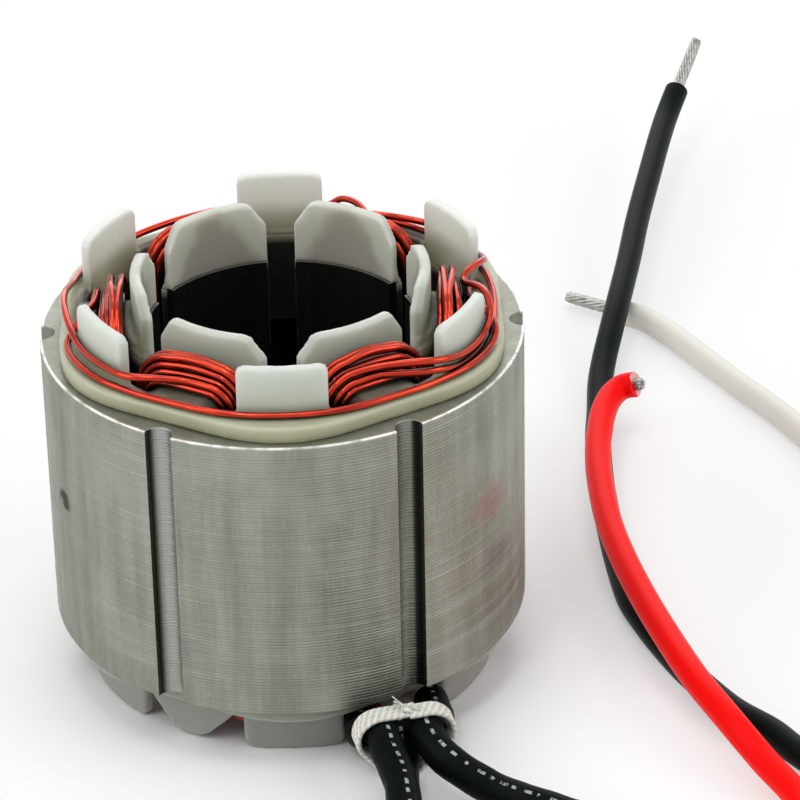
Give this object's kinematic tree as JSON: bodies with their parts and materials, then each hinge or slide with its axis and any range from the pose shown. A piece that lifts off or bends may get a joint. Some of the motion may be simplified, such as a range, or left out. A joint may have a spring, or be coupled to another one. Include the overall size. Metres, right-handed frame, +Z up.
{
  "type": "wound stator",
  "caption": "Wound stator of a small brushless motor: laminated core with round bore and toothed slots, moulded end insulators, enamelled wire coils and sleeved flying leads.",
  "frame": {"origin": "on the stator's axis, level with the ends of the bottom tabs that it stands on", "axes": "+Z up the bore axis, -Y towards a slot between two teeth at the front, +X along a tooth"},
  "size_m": [0.0934, 0.1802, 0.045],
  "materials": {
    "electrical_steel": "bare stacked laminations",
    "natural_nylon": "translucent moulded",
    "enamelled_copper": "glossy red-brown enamel",
    "tinned_copper": "tinned",
    "black_insulation": "satin",
    "red_insulation": "satin",
    "white_insulation": "satin",
    "black_sleeving": "satin",
    "lacing_cord": "twisted cord"
  },
  "bodies": {
    "root": {"lamination_stack": "electrical_steel", "top_insulator": "natural_nylon", "bottom_insulator": "natural_nylon", "lacing_tie": "lacing_cord", "coil_1": "enamelled_copper", "coil_2": "enamelled_copper", "coil_3": "enamelled_copper", "coil_4": "enamelled_copper", "coil_5": "enamelled_copper", "coil_6": "enamelled_copper", "crossover_1": "enamelled_copper", "coil_tail_1": "enamelled_copper", "crossover_2": "enamelled_copper", "coil_tail_2": "enamelled_copper", "crossover_3": "enamelled_copper", "coil_tail_3": "enamelled_copper", "star_link_1": "enamelled_copper", "star_link_2": "enamelled_copper", "lead_black": "black_insulation", "sleeve_black": "black_sleeving", "splice_black": "tinned_copper", "tinned_end_black": "tinned_copper", "lead_red": "red_insulation", "sleeve_red": "black_sleeving", "splice_red": "tinned_copper", "tinned_end_red": "tinned_copper", "lead_white": "white_insulation", "sleeve_white": "black_sleeving", "splice_white": "tinned_copper", "tinned_end_white": "tinned_copper"}
  },
  "joints": []
}
